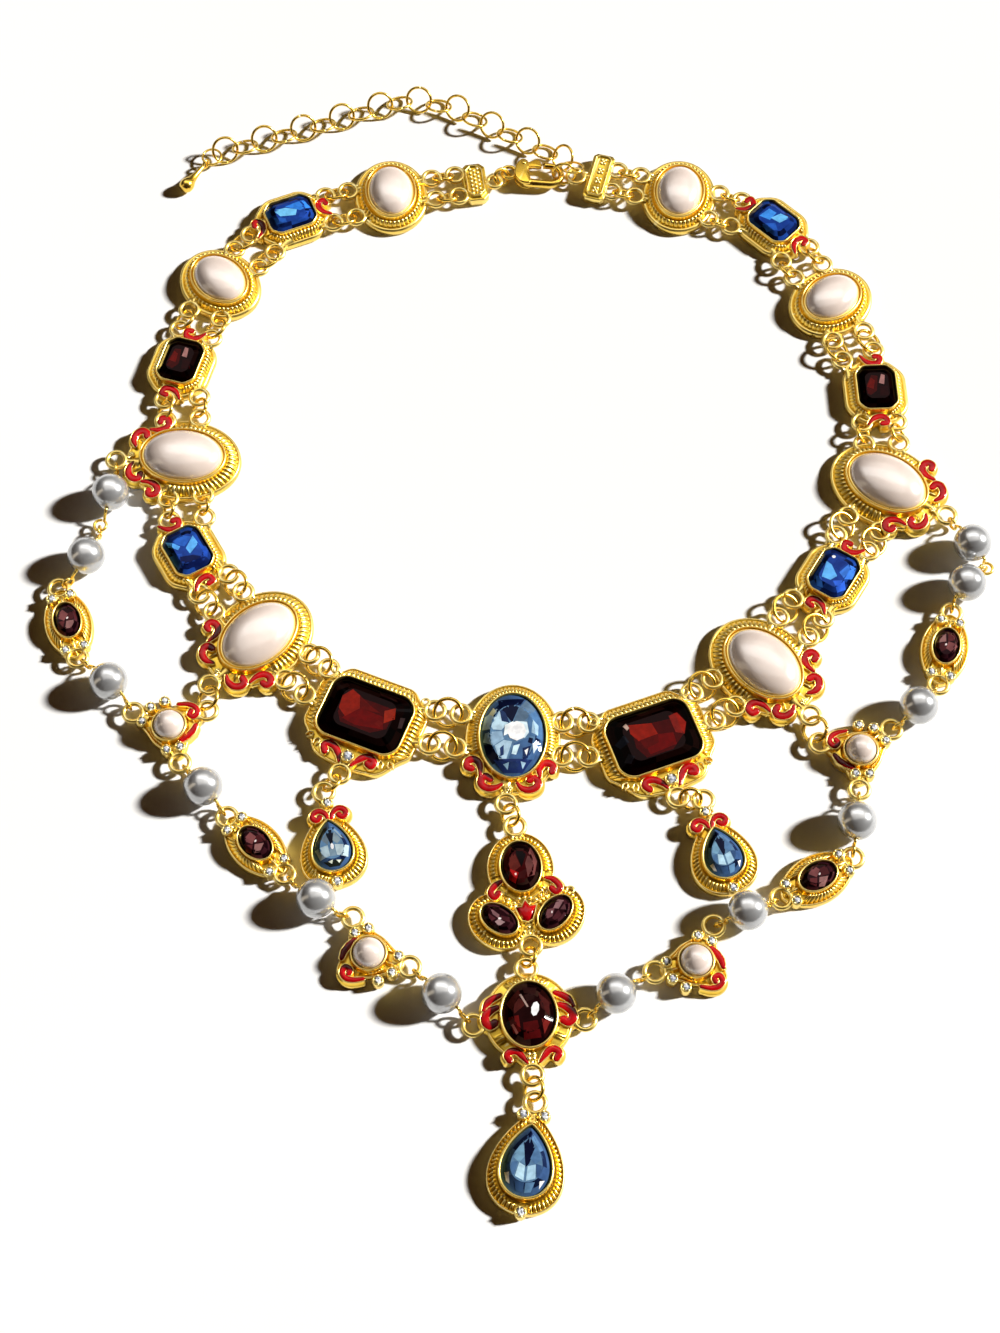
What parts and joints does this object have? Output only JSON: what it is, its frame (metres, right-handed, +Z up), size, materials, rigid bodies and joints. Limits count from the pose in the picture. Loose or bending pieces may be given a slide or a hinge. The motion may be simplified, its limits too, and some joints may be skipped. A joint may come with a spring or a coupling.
{
  "type": "layered necklace",
  "caption": "Ornate gold-plated bib necklace: a collar of set stones and pearls, a swag of beads and links, hanging pendants, a lobster clasp and an extender chain.",
  "frame": {"origin": "on the table under the middle of the necklace as it lies", "axes": "+Z up out of the face of the settings, +Y from the front pendants to the clasp, +X towards the wearer's left when seen from above"},
  "size_m": [0.2026, 0.2656, 0.008],
  "materials": {
    "gold": "polished antique gold plate",
    "pearl": "cream imitation pearl with a soft sheen",
    "grey_bead": "silver-grey imitation pearl",
    "garnet": "foil-backed faceted glass",
    "sapphire": "foil-backed faceted glass",
    "aqua": "foil-backed faceted glass",
    "amethyst": "foil-backed faceted glass",
    "crystal": "foil-backed faceted glass",
    "red_enamel": "glossy enamel"
  },
  "bodies": {
    "necklace": {"setting_centre": "gold", "setting_l1": "gold", "setting_l2": "gold", "setting_l3": "gold", "setting_l4": "gold", "setting_l5": "gold", "setting_l6": "gold", "setting_l7": "gold", "setting_l8": "gold", "setting_r1": "gold", "setting_r2": "gold", "setting_r3": "gold", "setting_r4": "gold", "setting_r5": "gold", "setting_r6": "gold", "setting_r7": "gold", "setting_r8": "gold", "end_bar_l": "gold", "end_bar_r": "gold", "clasp_body": "gold", "extender_chain": "gold", "chain_weight": "gold", "triangle_l1": "gold", "triangle_l2": "gold", "triangle_r1": "gold", "triangle_r2": "gold", "navette_l1": "gold", "navette_l2": "gold", "navette_r1": "gold", "navette_r2": "gold", "side_drop_l": "gold", "side_drop_r": "gold", "trefoil_drop": "gold", "medallion": "gold", "end_drop": "gold", "bead_l1": "grey_bead", "bead_l2": "grey_bead", "bead_l3": "grey_bead", "bead_l4": "grey_bead", "bead_l5": "grey_bead", "bead_l6": "grey_bead", "bead_r1": "grey_bead", "bead_r2": "grey_bead", "bead_r3": "grey_bead", "bead_r4": "grey_bead", "bead_r5": "grey_bead", "bead_r6": "grey_bead", "pearl_cabochons": "pearl", "small_pearls": "pearl", "garnet_octagons": "garnet", "blue_octagons": "sapphire", "aqua_stones": "aqua", "garnet_ovals": "garnet", "amethyst_ovals": "amethyst", "clear_crystals": "crystal", "red_enamel": "red_enamel", "jump_rings": "gold", "eye_pins": "gold"},
    "lever": {"clasp_lever": "gold"}
  },
  "joints": [
    {"name": "clasp_lever_hinge", "type": "hinge", "parent": "necklace", "child": "lever", "pos_m": [0.001, 0.11129, 0.0018], "axis": [0, 0, 1], "range_deg": [-25, 0], "stiffness_Nm_per_rad": 0.001}
  ]
}
